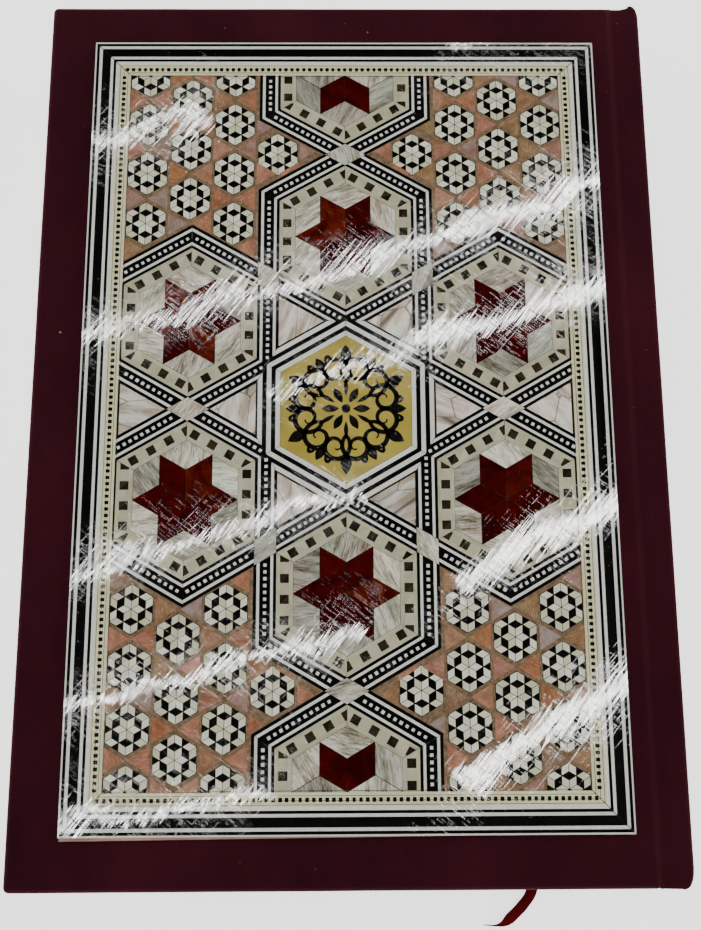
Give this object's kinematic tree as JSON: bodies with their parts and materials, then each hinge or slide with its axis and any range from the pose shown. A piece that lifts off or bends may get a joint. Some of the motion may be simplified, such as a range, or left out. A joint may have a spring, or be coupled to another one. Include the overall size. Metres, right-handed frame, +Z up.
{
  "type": "velvet-bound book with inlaid cover",
  "caption": "Hardcover book bound in dark velvet, with a mosaic-inlaid panel on the front cover, a cover and pages that open, and a ribbon bookmark.",
  "frame": {"origin": "bottom centre of the closed book lying on its back cover, without the ribbon's free end", "axes": "+X from fore edge to spine, +Y towards the head of the pages, +Z up out of the front cover"},
  "size_m": [0.187, 0.2819, 0.0385],
  "materials": {
    "velvet": "dark burgundy velvet pile",
    "board": "grey-brown binder's board",
    "endpaper": "cream laid paper",
    "page_paper": "cream book paper",
    "lining": "glued cloth and paper",
    "headband": "striped silk sewing",
    "ribbon": "red satin ribbon",
    "panel_wood": "thin wooden backing",
    "white_inlay": "white strips under lacquer",
    "ebony": "black wood under gloss lacquer",
    "bone": "cream bone-like strips under lacquer",
    "micro_mosaic": "cream and black chequer strip under lacquer",
    "rosette_mosaic": "cream and black rod mosaic under lacquer",
    "dark_horn": "dark brown squares under lacquer",
    "red_shell": "dark red mottled shell under lacquer",
    "pearl": "mother-of-pearl under lacquer",
    "pink_shell": "pink and orange shell under lacquer",
    "gold_plate": "gold leaf under lacquer"
  },
  "bodies": {
    "root": {"back_velvet": "velvet", "back_board": "board", "back_pastedown": "endpaper", "back_joint_velvet": "velvet", "lower_sections": "page_paper", "lower_lining": "lining", "lower_headbands": "headband", "back_flyleaf": "endpaper", "ribbon_inner": "ribbon", "ribbon_tail": "ribbon"},
    "upper_pages": {"upper_sections": "page_paper", "upper_lining": "lining", "upper_headbands": "headband", "front_flyleaf": "endpaper"},
    "spine": {"spine_velvet": "velvet", "spine_stiffener": "board"},
    "front_joint": {"front_joint_velvet": "velvet"},
    "front_cover": {"front_velvet": "velvet", "front_board": "board", "front_pastedown": "endpaper", "panel_base": "panel_wood", "frame_white_lines": "white_inlay", "frame_ebony": "ebony", "frame_bone": "bone", "frame_dot_strip": "micro_mosaic", "banding_black": "ebony", "banding_white": "white_inlay", "bone_bands": "bone", "band_squares": "dark_horn", "star_rhombi": "red_shell", "pearl_rhombi": "pearl", "crossing_tiles": "pearl", "medallion_plate": "gold_plate", "medallion_white": "white_inlay", "medallion_black": "ebony", "pearl_triangles": "pearl", "rosettes": "rosette_mosaic", "shell_ground": "pink_shell"}
  },
  "joints": [
    {"name": "pages_turn", "type": "hinge", "parent": "root", "child": "upper_pages", "pos_m": [0.0886, 0, 0.02], "axis": [0, 1, 0], "range_deg": [0, 180]},
    {"name": "spine_hinge", "type": "hinge", "parent": "root", "child": "spine", "pos_m": [0.09, 0, 0.0012], "axis": [0, 1, 0], "range_deg": [0, 81]},
    {"name": "front_joint_flex", "type": "hinge", "parent": "spine", "child": "front_joint", "pos_m": [0.09, 0, 0.0335], "axis": [0, 1, 0], "range_deg": [0, 99]},
    {"name": "front_cover_hinge", "type": "hinge", "parent": "front_joint", "child": "front_cover", "pos_m": [0.0835, 0, 0.0335], "axis": [0, -1, 0], "range_deg": [-115, 0]}
  ],
  "couplings": [
    {"joint": "spine_hinge", "follows": "pages_turn", "ratio": 0.45},
    {"joint": "front_joint_flex", "follows": "pages_turn", "ratio": 0.55}
  ]
}
